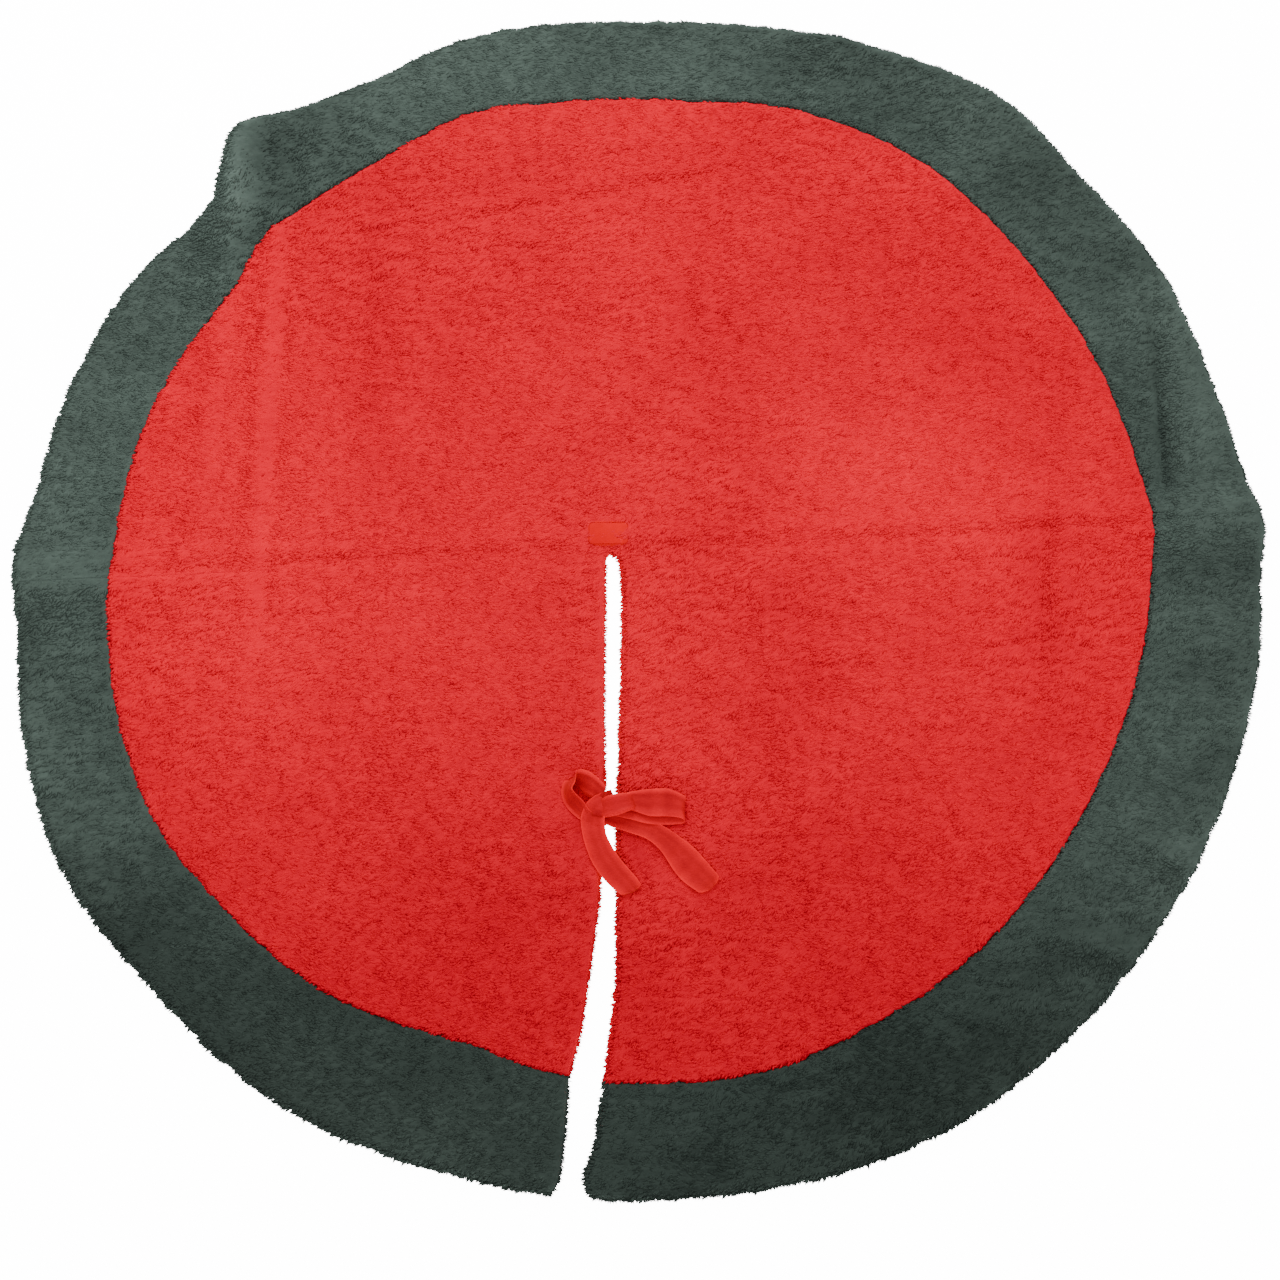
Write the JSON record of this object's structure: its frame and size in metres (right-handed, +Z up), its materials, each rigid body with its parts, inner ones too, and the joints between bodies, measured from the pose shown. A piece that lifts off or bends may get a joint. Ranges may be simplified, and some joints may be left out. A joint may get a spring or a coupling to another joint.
{
  "type": "tree skirt",
  "caption": "Round plush tree skirt with a contrasting border, a slit from its centre to the hem and a ribbon bow that ties the slit closed.",
  "frame": {"origin": "on the floor at the skirt's centre, 12 mm behind the closed end of the slit", "axes": "+Z up; the slit runs from the centre to the hem along -Y, which is the front; +X is to the right"},
  "size_m": [1.2288, 1.2117, 0.02],
  "materials": {
    "red_plush": "short dense pile",
    "green_plush": "short dense pile",
    "ribbon_velvet": "velvet with a sheen",
    "lining_cloth": "plain matt backing cloth",
    "red_thread": "sewing thread",
    "green_thread": "sewing thread"
  },
  "bodies": {
    "back_half": {"centre_plush_back": "red_plush", "border_plush_back": "green_plush", "lining_back": "lining_cloth", "seam_thread_back": "red_thread", "hem_thread_back": "green_thread", "slit_end_patch": "ribbon_velvet", "patch_thread": "red_thread"},
    "front_left": {"centre_plush_front_left": "red_plush", "border_plush_front_left": "green_plush", "lining_front_left": "lining_cloth", "seam_thread_front_left": "red_thread", "hem_thread_front_left": "green_thread", "slit_thread_left": "red_thread", "tie_lead_left": "ribbon_velvet", "tie_tack_left": "red_thread", "bow_knot": "ribbon_velvet"},
    "front_right": {"centre_plush_front_right": "red_plush", "border_plush_front_right": "green_plush", "lining_front_right": "lining_cloth", "seam_thread_front_right": "red_thread", "hem_thread_front_right": "green_thread", "slit_thread_right": "red_thread", "tie_lead_right": "ribbon_velvet", "tie_tack_right": "red_thread"},
    "loop_left": {"bow_loop_left": "ribbon_velvet"},
    "loop_right": {"bow_loop_right": "ribbon_velvet"},
    "tail_left": {"bow_tail_left": "ribbon_velvet"},
    "tail_right": {"bow_tail_right": "ribbon_velvet"}
  },
  "joints": [
    {"name": "front_left_fold", "type": "hinge", "parent": "back_half", "child": "front_left", "pos_m": [0, -0.012, 0.0095], "axis": [-0.9982, -0.0593, 0], "range_deg": [0, 165]},
    {"name": "front_right_fold", "type": "hinge", "parent": "back_half", "child": "front_right", "pos_m": [0, -0.012, 0.0095], "axis": [-0.9982, -0.0593, 0], "range_deg": [0, 165]},
    {"name": "loop_left_lift", "type": "hinge", "parent": "front_left", "child": "loop_left", "pos_m": [-0.006, -0.253, 0.0175], "axis": [0.7544, 0.6564, 0], "range_deg": [0, 35]},
    {"name": "loop_right_lift", "type": "hinge", "parent": "front_left", "child": "loop_right", "pos_m": [0.0215, -0.259, 0.0175], "axis": [0, -1, 0], "range_deg": [0, 35]},
    {"name": "tail_left_lift", "type": "hinge", "parent": "front_left", "child": "tail_left", "pos_m": [-0.0175, -0.2765, 0.0115], "axis": [-1, 0, 0], "range_deg": [0, 35]},
    {"name": "tail_right_lift", "type": "hinge", "parent": "front_left", "child": "tail_right", "pos_m": [0.0135, -0.2802, 0.0115], "axis": [-0.4472, -0.8944, 0], "range_deg": [0, 35]}
  ],
  "couplings": [
    {"joint": "front_right_fold", "follows": "front_left_fold", "ratio": 1}
  ]
}
